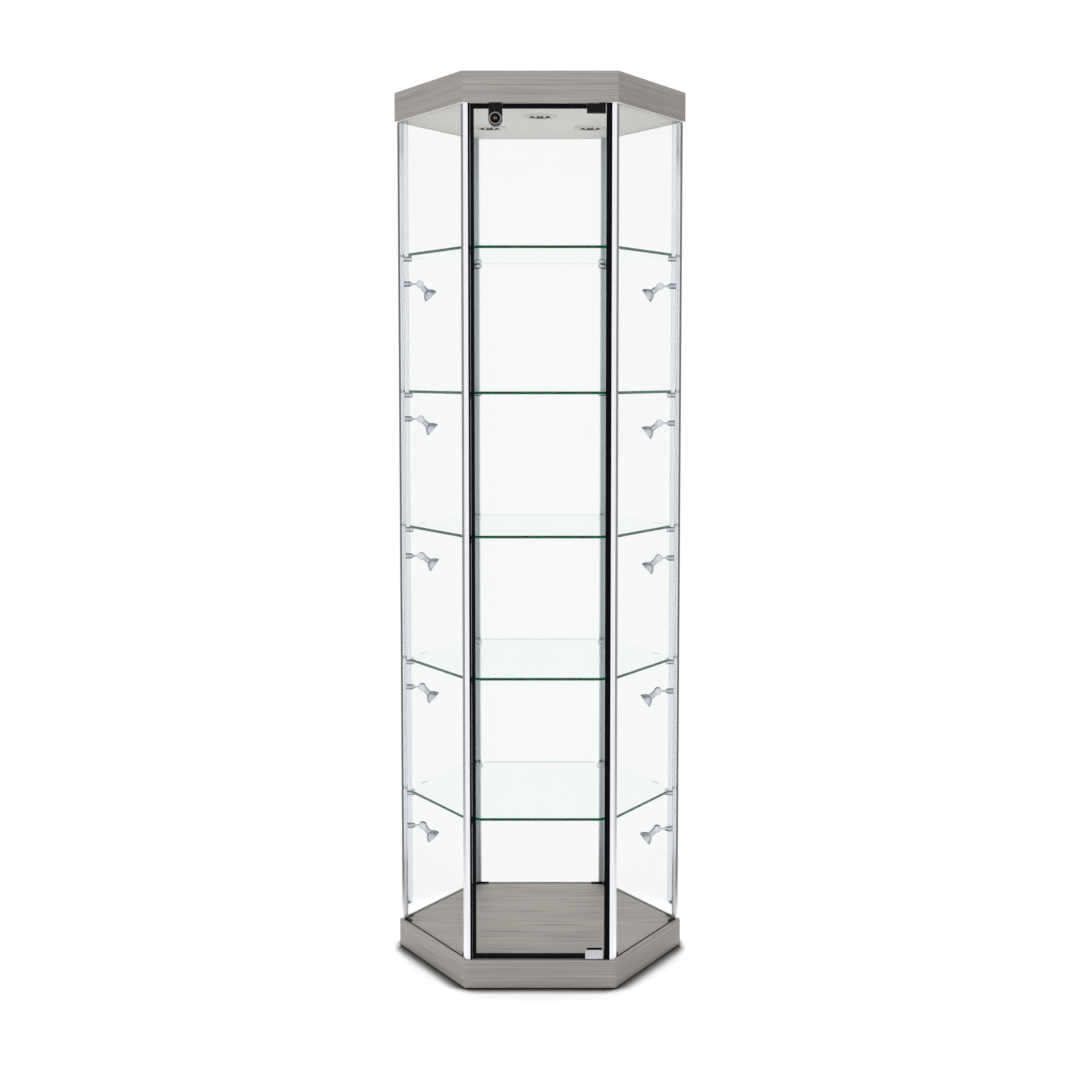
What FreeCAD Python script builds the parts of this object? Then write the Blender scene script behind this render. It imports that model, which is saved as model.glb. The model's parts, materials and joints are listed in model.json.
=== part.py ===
import FreeCAD, Part
import math
import os

from FreeCAD import Vector

# Six-sided glass tower display case. Millimetres, +Z up, origin on the floor under the centre.
# The door faces -Y. The six corners and sides repeat about Z.

# Overall form
case_height = 1980.0
case_side = 330.0
plinth_height = 65.0
canopy_height = 65.0
board_thickness = 16.0
glide_gap = 4.0
glide_height = 8.0
glide_diameter = 30.0
glide_taper = 2.0
glide_clearance = 1.0
block_reach = 70.0
top_board_thickness = 6.0
top_board_recess = 8.0
top_board_clearance = 0.5

# Glass
pane_thickness = 5.0
pane_clearance = 0.25
pane_edge_clearance = 0.3
pane_groove_depth = 4.0
shelf_thickness = 6.0
shelf_inset = 17.8
shelf_corner_gap = 13.3
shelf_count = 5
first_shelf_height = 310.0
shelf_pitch = 310.0

# Corner post extrusion
post_inset = 5.0
post_wall = 1.6
post_outer_leg = 11.0
post_door_leg = 9.5
post_inner_leg = 14.5
post_slot_start = 6.0
post_nose_depth = 13.4
post_port_diameter = 4.2
post_port_depth = 6.4

# Plastic corner shoes at the foot of the posts
shoe_clearance = 0.1
shoe_wing = 33.0
shoe_thickness = 3.0
shoe_web = 3.5
shoe_height = 5.0
shoe_end_offset = 2.0

# Shelf pegs
peg_diameter = 11.0
peg_length = 20.0
peg_nose_round = 2.0

# Light rails, clear channels up the left and right posts
rail_width = 15.4
rail_wall = 1.1
rail_reach = 12.4
rail_foot_height = 37.0
rail_foot_radius = 5.0
rail_hole_clearance = 0.2

# Adjustable spotlights, listed from the top shelf down
spot_drops_left = [65.0, 63.0, 70.0, 67.0, 86.0]
spot_drops_right = [70.0, 73.0, 75.0, 77.0, 94.0]
spot_tilts_left = [48.0, 42.0, 35.0, 44.0, 48.0]
spot_tilts_right = [35.0, 37.0, 43.0, 38.0, 40.0]
spot_base_diameter = 12.6
spot_base_length = 11.5
spot_base_tip_diameter = 5.6
spot_base_taper = 8.0
spot_base_bulge = 1.2
spot_base_chamfer = 1.2
stem_diameter = 4.0
stem_clearance = 0.05
stem_in_base = 11.0
knuckle_reach = 37.3
knuckle_diameter = 16.4
eye_thickness = 5.0
eye_gap = 0.3
eye_clearance = 0.5
cheek_thickness = 2.8
tilt_pin_diameter = 5.0
tilt_pin_clearance = 0.05
neck_diameter = 11.4
neck_end_diameter = 13.0
neck_end = 22.5
bell_diameter = 33.4
bell_end = 38.4
bell_wall = 1.4
bell_bulge = 1.3
bell_rim = 2.0
lens_thickness = 1.6
lens_setback = 0.8

# Downlights in the ceiling board
downlight_flange_diameter = 78.0
downlight_flange_thickness = 2.5
downlight_flange_chamfer = 1.2
downlight_can_diameter = 66.0
downlight_can_wall = 2.0
downlight_can_height = 24.0
downlight_mouth_diameter = 48.0
downlight_hole_clearance = 0.5
downlight_lens_thickness = 3.0
downlight_lens_setback = 11.0
downlight_depth_share = 0.315
downlight_width_share = 0.41

# Lamp driver and lead grommet in the canopy
driver_length = 150.0
driver_width = 46.0
driver_height = 28.0
driver_setback = 95.8
driver_edge = 3.0
driver_ear_length = 14.0
driver_ear_thickness = 2.5
driver_ear_hole = 4.5
grommet_hole_diameter = 20.0
grommet_flange_diameter = 27.0
grommet_flange_thickness = 2.5
grommet_bore = 9.0
grommet_x = 0.0
grommet_drop = 30.0

# Door
door_gap_top = 2.0
door_gap_bottom = 2.5
door_gap_side = 0.6
trim_depth_side = 8.0
trim_depth_ends = 10.0
trim_wall = 1.6
trim_clearance = 0.1
trim_end_gap = 0.3
lock_seal_width = 4.4
hinge_seal_width = 12.2
seal_setback = 0.4
seal_depth = 8.0
seal_round = 1.6
seal_round_share = 0.4
seal_bore = 2.4
seal_tongue_width = 2.2
seal_tongue_length = 2.0
seal_tongue_clearance = 0.1

# Pivot hinges
clamp_thickness = 12.0
clamp_length = 34.0
clamp_height = 20.0
clamp_clearance = 1.5
clamp_swing_gap = 0.3
clamp_edge = 1.0
glass_past_pivot = 6.0
pivot_pin_diameter = 7.0
pivot_pin_depth = 10.0
pivot_clearance = 0.05
pivot_end_gap = 1.0
bush_diameter = 12.0
bush_depth = 12.0
bush_flange_diameter = 15.0
bush_flange_thickness = 1.0

# Lock clamped on the head of the door
lock_from_door_edge = 53.5
lock_width = 29.0
lock_height = 47.0
lock_front = 9.0
lock_rear = 11.0
lock_clearance = 0.1
lock_edge = 1.0
key_diameter = 14.0
key_clearance = 0.05
key_proud = 2.5
key_from_foot = 15.5
key_slot_width = 1.6
key_slot_length = 8.0
key_slot_depth = 5.0
key_glass_clearance = 1.5
cam_diameter = 19.0
cam_thickness = 3.0
cam_clearance = 0.3
crank_radius = 7.0
crank_pin_diameter = 3.0
crank_start_angle = -45.0
crank_turn = 90.0
bolt_width = 11.0
bolt_thickness = 4.0
bolt_clearance = 0.15
bolt_foot_width = 18.0
bolt_foot_height = 8.0
bolt_slot_clearance = 0.45
strike_clearance = 0.4

# Cutters run past the faces they open; edges are picked within the match distance
overshoot = 1.0
match_distance = 0.01

# Values worked out from the sizes above
SIDES = 6
SIXTH = 360.0 / SIDES
HALF_CORNER = math.radians(SIXTH)
CORNER_COS = math.cos(HALF_CORNER)
CORNER_SIN = math.sin(HALF_CORNER)
apothem = case_side * CORNER_SIN
ceiling_z = case_height - canopy_height
top_board_z = case_height - top_board_recess - top_board_thickness
post_radius = case_side - post_inset / CORNER_SIN
slot_width = pane_thickness + 2 * pane_clearance
post_inner_face = 2 * post_wall + slot_width
nose_x = post_radius - post_nose_depth
shelf_corner_radius = nose_x - shelf_corner_gap
downlight_depth = downlight_depth_share * apothem
downlight_spread = downlight_width_share * apothem
driver_y = apothem - driver_setback
pane_outer_inset = post_inset + post_wall + pane_clearance
glass_mid_inset = pane_outer_inset + pane_thickness / 2
glass_y = -(apothem - glass_mid_inset)
opening_half = post_radius * CORNER_COS - post_door_leg
door_left = -(opening_half - lock_seal_width - door_gap_side)
pivot_x = opening_half - hinge_seal_width - clamp_clearance - clamp_thickness / 2
door_right = pivot_x + glass_past_pivot
door_top = ceiling_z - door_gap_top
door_bottom = plinth_height + door_gap_bottom
glass_left = door_left + trim_wall + trim_clearance
glass_top = door_top - trim_wall - trim_clearance
glass_bottom = door_bottom + trim_wall + trim_clearance
trim_thickness = pane_thickness + 2 * (trim_wall + trim_clearance)
clamp_left = pivot_x - clamp_length
clamp_right = pivot_x + clamp_thickness / 2
clamp_swing = clamp_thickness / 2 + clamp_clearance - clamp_swing_gap
clamp_nose_radius = (clamp_thickness / math.sqrt(2) - clamp_swing) / (math.sqrt(2) - 1)
lock_x = door_left + lock_from_door_edge
lock_foot = door_top - lock_height
key_z = lock_foot + key_from_foot
lock_front_y = glass_y - pane_thickness / 2 - lock_front
lock_rear_y = glass_y + pane_thickness / 2 + lock_rear
cam_front_y = glass_y + pane_thickness / 2 + cam_clearance
cam_rear_y = cam_front_y + cam_thickness
bolt_front_y = cam_rear_y + cam_clearance
bolt_rear_y = bolt_front_y + bolt_thickness
crank_rise = 2 * crank_radius * math.sin(math.radians(crank_turn / 2))
shelf_heights = [plinth_height + first_shelf_height + n * shelf_pitch for n in range(shelf_count)]
corner_names = ["front_right", "right", "back_right", "back_left", "left", "front_left"]
corner_angles = [SIXTH * (n - 1) for n in range(SIDES)]
side_names = ["front", "front_right", "back_right", "back", "back_left", "front_left"]
door_legs = {"front_right": -1, "front_left": 1}


def turned(shape, angle):
    """A copy of a shape turned about the case's upright axis."""
    copy = shape.copy()
    copy.rotate(Vector(0, 0, 0), Vector(0, 0, 1), angle)
    return copy


def moved(shape, x, y, z):
    """A copy of a shape moved to a place."""
    copy = shape.copy()
    copy.translate(Vector(x, y, z))
    return copy


def prism(points, direction):
    """A closed outline pushed along a direction."""
    wire = Part.makePolygon(points + [points[0]])
    return Part.Face(wire).extrude(direction)


def upright(points, low, high):
    """A plan outline of (x, y) pairs pushed from one height to another."""
    outline = [Vector(x, y, low) for x, y in points]
    return prism(outline, Vector(0, 0, high - low))


def block(x0, x1, y0, y1, z0, z1):
    """A box between two corners."""
    return Part.makeBox(x1 - x0, y1 - y0, z1 - z0, Vector(x0, y0, z0))


def rod(start, direction, diameter, length):
    """A round bar from a point along a direction."""
    return Part.makeCylinder(diameter / 2, length, start, direction)


def lathe(points, start, axis):
    """A solid of revolution from (along, radius) pairs, stood at a point along an axis."""
    outline = [Vector(radius, 0, along) for along, radius in points]
    return turn_wire(Part.makePolygon(outline + [outline[0]]), start, axis)


def turn_wire(wire, start, axis):
    """A closed outline in the XZ plane spun about Z, stood at a point along an axis."""
    solid = Part.Face(wire).revolve(Vector(0, 0, 0), Vector(0, 0, 1), 360)
    solid.Placement = FreeCAD.Placement(start, FreeCAD.Rotation(Vector(0, 0, 1), axis))
    return solid


def bulged_lathe(points, bulge, start, axis):
    """A solid of revolution whose first edge is an arc that stands off its chord by a bulge."""
    corners = [Vector(radius, 0, along) for along, radius in points]
    chord = corners[1] - corners[0]
    middle = (corners[0] + corners[1]) / 2
    outward = Vector(chord.z, 0, -chord.x).normalize()
    edges = [Part.Arc(corners[0], middle + outward * bulge, corners[1]).toShape()]
    for near, far in zip(corners[1:], corners[2:] + corners[:1]):
        edges.append(Part.LineSegment(near, far).toShape())
    return turn_wire(Part.Wire(edges), start, axis)


def hexagon(flat, z):
    """Corners of a hexagon with the given half width across flats."""
    radius = flat / CORNER_SIN
    angles = [math.radians(SIXTH * n) for n in range(SIDES)]
    return [Vector(radius * math.cos(a), radius * math.sin(a), z) for a in angles]


def mitred_board(face_z, back_z):
    """A hexagonal board whose edges slope in at 45 degrees from its face to its back."""
    face = Part.makePolygon(hexagon(apothem, face_z) + [hexagon(apothem, face_z)[0]])
    inner = apothem - abs(back_z - face_z)
    back = Part.makePolygon(hexagon(inner, back_z) + [hexagon(inner, back_z)[0]])
    return Part.makeLoft([face, back], True, True)


def leg_point(along, depth, side):
    """A plan point on the post at angle 0, by its place along a side and its depth behind it."""
    inward = along * CORNER_COS + depth * CORNER_SIN
    across = along * CORNER_SIN - depth * CORNER_COS
    return (post_radius - inward, side * across)


def nose_point(inward, depth, side):
    """A plan point at a distance in from the post's edge and a depth behind one side."""
    across = (inward * CORNER_SIN - depth) / CORNER_COS
    return (post_radius - inward, side * across)


def glass_leg(side):
    """The half of the post's outline that holds a pane."""
    slot_front = post_wall
    slot_back = post_wall + slot_width
    return [
        leg_point(post_outer_leg, 0, side),
        leg_point(post_outer_leg, slot_front, side),
        leg_point(post_slot_start, slot_front, side),
        leg_point(post_slot_start, slot_back, side),
        leg_point(post_inner_leg, slot_back, side),
        leg_point(post_inner_leg, post_inner_face, side),
        nose_point(post_nose_depth, post_inner_face, side),
    ]


def door_leg(side):
    """The half of a front post's outline beside the door, a plain return."""
    depth = (post_nose_depth - post_door_leg * CORNER_COS) / CORNER_SIN
    return [leg_point(post_door_leg, 0, side), leg_point(post_door_leg, depth, side)]


def tongue_box(side, clearance):
    """The seal's tongue in the side of a front post, grown by a clearance."""
    middle = seal_setback + seal_depth / 2
    low = middle - seal_tongue_width / 2 - clearance
    high = middle + seal_tongue_width / 2 + clearance
    start = post_door_leg - seal_tongue_length - clearance
    points = [
        leg_point(start, low, side),
        leg_point(post_door_leg, low, side),
        leg_point(post_door_leg, high, side),
        leg_point(start, high, side),
    ]
    return upright(points, plinth_height, ceiling_z)


def make_post(name, angle):
    """One extruded corner post with a screw port down its core."""
    door_side = door_legs.get(name, 0)
    right = door_leg(1) if door_side == 1 else glass_leg(1)
    left = door_leg(-1) if door_side == -1 else glass_leg(-1)
    outline = [(post_radius, 0)] + right + left[::-1]
    post = upright(outline, plinth_height, ceiling_z)
    port_foot = Vector(post_radius - post_port_depth, 0, plinth_height)
    post = post.cut(rod(port_foot, Vector(0, 0, 1), post_port_diameter, ceiling_z - plinth_height))
    if door_side:
        post = post.cut(tongue_box(door_side, seal_tongue_clearance))
    return turned(post, angle)


def make_seal(width, side, angle):
    """A hollow rubber seal that clips in the door side of a front post."""
    end = post_door_leg + width
    back = seal_setback + seal_depth
    points = [
        leg_point(post_door_leg, seal_setback, side),
        leg_point(end, seal_setback, side),
        leg_point(end, back, side),
        leg_point(post_door_leg, back, side),
    ]
    body = upright(points, plinth_height, ceiling_z)
    tips = [Vector(*leg_point(end, depth, side), 0) for depth in (seal_setback, back)]
    edges = [e for e in body.Edges if is_upright_at(e, tips)]
    body = body.makeFillet(min(seal_round, seal_round_share * width), edges)
    middle = leg_point(post_door_leg + width / 2, seal_setback + seal_depth / 2, side)
    bore = rod(Vector(*middle, plinth_height), Vector(0, 0, 1), seal_bore, ceiling_z - plinth_height)
    return turned(body.cut(bore).fuse(tongue_box(side, 0)).removeSplitter(), angle)


def is_upright_at(edge, places):
    """Whether an edge stands upright over one of some plan places."""
    first, last = edge.Vertexes[0].Point, edge.Vertexes[-1].Point
    if abs(first.z - last.z) < match_distance:
        return False
    flat = Vector(first.x, first.y, 0)
    return any(flat.distanceToPoint(p) < match_distance for p in places)


def pane_block(clearance, z0, z1):
    """The front pane's box, grown by a clearance, from one height to another."""
    half = post_radius / 2 - post_slot_start - pane_edge_clearance + clearance
    outer = -(apothem - pane_outer_inset) - clearance
    return block(-half, half, outer, outer + pane_thickness + 2 * clearance, z0, z1)


def pane_grooves(z0, z1):
    """Grooves for the five fixed panes."""
    groove = pane_block(pane_clearance, z0, z1)
    return [turned(groove, SIXTH * n) for n in range(1, SIDES)]


def make_panes():
    """The five fixed panes, standing in the deck's and the ceiling's grooves."""
    pane = pane_block(0, plinth_height - pane_groove_depth, ceiling_z + pane_groove_depth)
    return {f"glass_{side_names[n]}": turned(pane, SIXTH * n) for n in range(1, SIDES)}


def make_bush(face_z, up):
    """A pivot bush sunk into a board, with its flange on the board's face."""
    inward = Vector(0, 0, up)
    face = Vector(pivot_x, glass_y, face_z)
    mouth = face - inward * bush_flange_thickness
    body = rod(face, inward, bush_diameter, bush_depth)
    flange = rod(mouth, inward, bush_flange_diameter, bush_flange_thickness)
    bore_diameter = pivot_pin_diameter + 2 * pivot_clearance
    bore_depth = bush_flange_thickness + pivot_pin_depth + pivot_end_gap
    return body.fuse(flange).cut(rod(mouth, inward, bore_diameter, bore_depth))


def make_fascias(z0, z1, board, cuts):
    """Six mitred boards round a hexagon, cut to fit the mitred board and any holes."""
    inner = apothem - board_thickness
    half_outer = case_side / 2
    half_inner = inner / CORNER_SIN / 2
    points = [(-half_outer, -apothem), (half_outer, -apothem), (half_inner, -inner), (-half_inner, -inner)]
    whole = upright(points, z0, z1)
    sides = [turned(whole, SIXTH * n).cut(board) for n in range(SIDES)]
    for side, cutter in cuts:
        sides[side] = sides[side].cut(cutter)
    return Part.makeCompound(sides)


def corner_block(z0, z1):
    """A glue block in the inside corner at angle 0."""
    corner = (apothem - board_thickness) / CORNER_SIN
    inward = corner - block_reach * CORNER_COS
    across = block_reach * CORNER_SIN
    return upright([(corner, 0), (inward, across), (inward, -across)], z0, z1)


def make_corner_blocks():
    """The glue blocks of the plinth and of the canopy."""
    low = corner_block(glide_height, plinth_height - board_thickness)
    high = corner_block(ceiling_z + board_thickness, top_board_z)
    return Part.makeCompound([turned(piece, a) for piece in (low, high) for a in corner_angles])


def make_glide():
    """A turned nylon glide under the block at angle 0."""
    corner = (apothem - board_thickness) / CORNER_SIN
    outer = glide_diameter / 2
    inward = corner - (outer + glide_clearance) / CORNER_SIN
    points = [
        (0, 0),
        (0, outer - 2 * glide_taper),
        (glide_taper, outer - glide_taper),
        (glide_height, outer),
        (glide_height, 0),
    ]
    return lathe(points, Vector(inward, 0, 0), Vector(0, 0, 1))


def make_shoe(name, angle):
    """A plastic corner shoe that holds the foot of a post against the deck."""
    outer = post_inner_face + shoe_clearance
    inner = outer + shoe_thickness
    front = post_nose_depth + shoe_clearance
    back = front + shoe_web

    def wing(side):
        return [
            nose_point(front, outer, side),
            leg_point(shoe_wing, outer, side),
            leg_point(shoe_wing, inner, side),
            nose_point(back, inner, side),
        ]

    def stub(side):
        return [(post_radius - front, side * shoe_end_offset), (post_radius - back, side * shoe_end_offset)]

    door_side = door_legs.get(name, 0)
    right = stub(1) if door_side == 1 else wing(1)
    left = stub(-1) if door_side == -1 else wing(-1)
    return turned(upright(right + left[::-1], plinth_height, plinth_height + shoe_height), angle)


def peg_profile():
    """The outline of a peg along its length."""
    radius = peg_diameter / 2
    return [
        (0, 0),
        (0, radius),
        (peg_length - peg_nose_round, radius),
        (peg_length, radius - peg_nose_round),
        (peg_length, 0),
    ]


def peg_z(shelf_z):
    """Height of a peg's axis under a shelf whose middle is at shelf_z."""
    return shelf_z - shelf_thickness / 2 - peg_diameter / 2


def make_pegs():
    """A peg on every post under every shelf."""
    peg = lathe(peg_profile(), Vector(nose_x, 0, 0), Vector(-1, 0, 0))
    placed = [moved(turned(peg, a), 0, 0, peg_z(z)) for z in shelf_heights for a in corner_angles]
    return Part.makeCompound(placed)


def make_shelf(z):
    """A glass shelf with its six corners cut off square."""
    flat = apothem - shelf_inset
    low = z - shelf_thickness / 2
    whole = prism(hexagon(flat, low), Vector(0, 0, shelf_thickness))
    reach = 2 * case_side
    for angle in corner_angles:
        cutter = block(shelf_corner_radius, reach, -reach, reach, low - overshoot, z + shelf_thickness)
        whole = whole.cut(turned(cutter, angle))
    return whole


def spot_heights(drops):
    """Heights of one side's spotlights, from the top shelf down."""
    return [z - drop for z, drop in zip(shelf_heights[::-1], drops)]


def rail_side(face_x, foot_z):
    """The rail's side outline, with its lower front corner rounded, as deep as the rail is wide."""
    y = -rail_width / 2
    turn = rail_foot_radius
    bend = turn * (1 - math.sqrt(0.5))
    arc = Part.Arc(
        Vector(face_x, y, foot_z + turn),
        Vector(face_x + bend, y, foot_z + bend),
        Vector(face_x + turn, y, foot_z),
    )
    corners = [
        Vector(face_x + turn, y, foot_z),
        Vector(post_radius, y, foot_z),
        Vector(post_radius, y, ceiling_z),
        Vector(face_x, y, ceiling_z),
        Vector(face_x, y, foot_z + turn),
    ]
    edges = [Part.LineSegment(a, b).toShape() for a, b in zip(corners, corners[1:])]
    return Part.Face(Part.Wire([arc.toShape()] + edges)).extrude(Vector(0, rail_width, 0))


def make_rail(angle, drops):
    """A clear channel on the nose of the post at angle 0, holed for pegs and spotlights."""
    half = rail_width / 2
    inner_half = half - rail_wall
    face = rail_reach
    foot_z = plinth_height + rail_foot_height

    def seat(across):
        return (post_inner_face + across * CORNER_COS) / CORNER_SIN - post_nose_depth

    points = [
        (nose_x - seat(half), half),
        (nose_x - face, half),
        (nose_x - face, -half),
        (nose_x - seat(half), -half),
        (nose_x - seat(inner_half), -inner_half),
        (nose_x - face + rail_wall, -inner_half),
        (nose_x - face + rail_wall, inner_half),
        (nose_x - seat(inner_half), inner_half),
    ]
    rail = upright(points, foot_z, ceiling_z)
    rail = rail.common(rail_side(nose_x - face, foot_z))
    inward = Vector(-1, 0, 0)
    start = nose_x - face / 2
    for z in shelf_heights:
        hole = peg_diameter + 2 * rail_hole_clearance
        rail = rail.cut(rod(Vector(start, 0, peg_z(z)), inward, hole, face))
    for z in spot_heights(drops):
        hole = spot_base_diameter + 2 * rail_hole_clearance
        rail = rail.cut(rod(Vector(start, 0, z), inward, hole, face))
    return turned(rail, angle)


def make_spot_base():
    """The turned, bullet-nosed base of a spotlight, from the post's nose inward along +X."""
    outer = spot_base_diameter / 2
    tip = spot_base_tip_diameter / 2
    bore = stem_diameter / 2 + stem_clearance
    end = spot_base_length + spot_base_taper
    bore_end = end - stem_in_base
    points = [
        (spot_base_length, outer),
        (end, tip),
        (end, bore),
        (bore_end, bore),
        (bore_end, 0),
        (0, 0),
        (0, outer - spot_base_chamfer),
        (spot_base_chamfer, outer),
    ]
    return bulged_lathe(points, spot_base_bulge, Vector(0, 0, 0), Vector(1, 0, 0))


def make_spot_arm():
    """The swivelling stem with the round eye of the knuckle."""
    start = spot_base_length + spot_base_taper - stem_in_base
    across = Vector(0, 1, 0)
    stem = rod(Vector(start, 0, 0), Vector(1, 0, 0), stem_diameter, knuckle_reach - start)
    eye = rod(Vector(knuckle_reach, -eye_thickness / 2, 0), across, knuckle_diameter, eye_thickness)
    hole_diameter = tilt_pin_diameter + 2 * tilt_pin_clearance
    hole = rod(Vector(knuckle_reach, -eye_thickness, 0), across, hole_diameter, 2 * eye_thickness)
    return stem.fuse(eye).cut(hole).removeSplitter()


def bell_profile():
    """The bowl of the bell, its hollow behind the lens, and the neck, from the flare's foot."""
    neck = neck_diameter / 2
    foot = neck_end_diameter / 2
    outer = bell_diameter / 2
    start = knuckle_diameter / 2 + eye_clearance
    lens_back = bell_end - lens_setback - lens_thickness
    return [
        (neck_end, foot),
        (bell_end - bell_rim, outer),
        (bell_end, outer),
        (bell_end, outer - bell_wall),
        (lens_back, outer - bell_wall),
        (lens_back, outer - 2 * bell_wall),
        (neck_end + bell_wall, foot - 2 * bell_wall),
        (neck_end + bell_wall, 0),
        (start, 0),
        (start, neck),
    ]


def make_spot_head():
    """The tilting head: fork, pin, neck, bell and lens, pointing along +X from the knuckle."""
    along = Vector(1, 0, 0)
    across = Vector(0, 1, 0)
    head = bulged_lathe(bell_profile(), bell_bulge, Vector(0, 0, 0), along)
    near = eye_thickness / 2 + eye_gap
    far = near + cheek_thickness
    strap_end = knuckle_diameter / 2 + eye_clearance + cheek_thickness
    strap_half = neck_diameter / 2
    for low, high in ((near, far), (-far, -near)):
        cheek = rod(Vector(0, low, 0), across, knuckle_diameter, high - low)
        strap = block(0, strap_end, low, high, -strap_half, strap_half)
        head = head.fuse(cheek).fuse(strap)
    head = head.fuse(rod(Vector(0, -far, 0), across, tilt_pin_diameter, 2 * far)).removeSplitter()
    lens_back = bell_end - lens_setback - lens_thickness
    lens = rod(Vector(lens_back, 0, 0), along, bell_diameter - 2 * bell_wall, lens_thickness)
    return head, lens


def spot_nodes():
    """Bases, arms and heads of both columns of spotlights."""
    nodes = {}
    bases = []
    sides = [
        ("left", 0.0, spot_drops_left, spot_tilts_left),
        ("right", 180.0, spot_drops_right, spot_tilts_right),
    ]
    for name, angle, drops, tilts in sides:
        for n, (z, tilt) in enumerate(zip(spot_heights(drops), tilts), 1):
            bases.append(turned(moved(make_spot_base(), -nose_x, 0, z), angle))
            nodes[f"spot_arm_{name}_{n}"] = turned(moved(make_spot_arm(), -nose_x, 0, z), angle)
            pieces = []
            for piece in make_spot_head():
                piece.rotate(Vector(0, 0, 0), Vector(0, 1, 0), tilt)
                pieces.append(turned(moved(piece, knuckle_reach - nose_x, 0, z), angle))
            nodes[f"spot_head_{name}_{n}"] = Part.makeCompound(pieces)
    nodes["spot_bases"] = Part.makeCompound(bases)
    return nodes


def downlight_places():
    """Plan places of the three downlights."""
    front = (0.0, -downlight_depth)
    return [front, (-downlight_spread, downlight_depth), (downlight_spread, downlight_depth)]


def make_downlight():
    """A flanged can, hung at the ceiling's underside, and the lens set back inside it."""
    flange = downlight_flange_diameter / 2
    can = downlight_can_diameter / 2
    bore = can - downlight_can_wall
    mouth = downlight_mouth_diameter / 2
    low = -downlight_flange_thickness
    points = [
        (low, mouth),
        (low, flange - downlight_flange_chamfer),
        (low + downlight_flange_chamfer, flange),
        (0, flange),
        (0, can),
        (downlight_can_height, can),
        (downlight_can_height, 0),
        (downlight_can_height - downlight_can_wall, 0),
        (downlight_can_height - downlight_can_wall, bore),
        (0, bore),
        (0, mouth),
    ]
    bezel = lathe(points, Vector(0, 0, ceiling_z), Vector(0, 0, 1))
    lens_foot = Vector(0, 0, ceiling_z + downlight_lens_setback)
    lens = rod(lens_foot, Vector(0, 0, 1), 2 * bore, downlight_lens_thickness)
    return bezel, lens


def make_driver():
    """The lamp driver: a moulded case with a screw ear at each end, on the ceiling board."""
    base = ceiling_z + board_thickness
    top = base + driver_height
    half_l = driver_length / 2
    half_w = driver_width / 2
    body = block(-half_l, half_l, driver_y - half_w, driver_y + half_w, base, top)
    edges = [e for e in body.Edges if e.BoundBox.ZMax > top - match_distance]
    body = body.makeFillet(driver_edge, edges)
    ear_end = half_l + driver_ear_length
    ear_half = half_w / 2
    ear_top = base + driver_ear_thickness
    ears = block(-ear_end, ear_end, driver_y - ear_half, driver_y + ear_half, base, ear_top)
    hole_x = half_l + driver_ear_length / 2
    for x in (-hole_x, hole_x):
        hole = rod(Vector(x, driver_y, base), Vector(0, 0, 1), driver_ear_hole, driver_height)
        ears = ears.cut(hole)
    return body.fuse(ears).removeSplitter()


def make_grommet():
    """A flanged grommet for the mains lead, through the back of the canopy."""
    start = Vector(grommet_x, apothem + grommet_flange_thickness, case_height - grommet_drop)
    flange = grommet_flange_diameter / 2
    body = grommet_hole_diameter / 2
    bore = grommet_bore / 2
    length = grommet_flange_thickness + board_thickness
    points = [
        (0, bore),
        (0, flange - grommet_flange_thickness / 2),
        (grommet_flange_thickness / 2, flange),
        (grommet_flange_thickness, flange),
        (grommet_flange_thickness, body),
        (length, body),
        (length, bore),
    ]
    return lathe(points, start, Vector(0, -1, 0))


def grommet_hole():
    """The hole for the grommet."""
    start = Vector(grommet_x, apothem + overshoot, case_height - grommet_drop)
    return rod(start, Vector(0, -1, 0), grommet_hole_diameter, board_thickness + 2 * overshoot)


def door_slot(clearance):
    """The space of the door's glass, grown by a clearance on its faces and edges."""
    half = pane_thickness / 2 + clearance
    return block(
        glass_left - clearance,
        door_right,
        glass_y - half,
        glass_y + half,
        glass_bottom - clearance,
        glass_top + clearance,
    )


def make_door_glass():
    """The door's glass, drilled for the lock."""
    hole_diameter = key_diameter + 2 * key_glass_clearance
    start = Vector(lock_x, glass_y - pane_thickness, key_z)
    return door_slot(0).cut(rod(start, Vector(0, 1, 0), hole_diameter, 2 * pane_thickness))


def make_door_trim():
    """Black edge channel on the lock side, head and foot of the door, mitred at the corners."""
    side = door_left + trim_depth_side
    head = door_top - trim_depth_ends
    foot = door_bottom + trim_depth_ends
    hinge_end = clamp_left - trim_end_gap
    lock_start = lock_x - lock_width / 2 - trim_end_gap
    lock_end = lock_x + lock_width / 2 + trim_end_gap
    outlines = [
        [(door_left, door_bottom), (door_left, door_top), (side, head), (side, foot)],
        [(door_left, door_top), (lock_start, door_top), (lock_start, head), (side, head)],
        [(lock_end, door_top), (hinge_end, door_top), (hinge_end, head), (lock_end, head)],
        [(door_left, door_bottom), (hinge_end, door_bottom), (hinge_end, foot), (side, foot)],
    ]
    front = glass_y - trim_thickness / 2
    pieces = []
    for outline in outlines:
        points = [Vector(x, front, z) for x, z in outline]
        piece = prism(points, Vector(0, trim_thickness, 0))
        pieces.append(piece.cut(door_slot(trim_clearance)))
    return Part.makeCompound(pieces)


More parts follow.
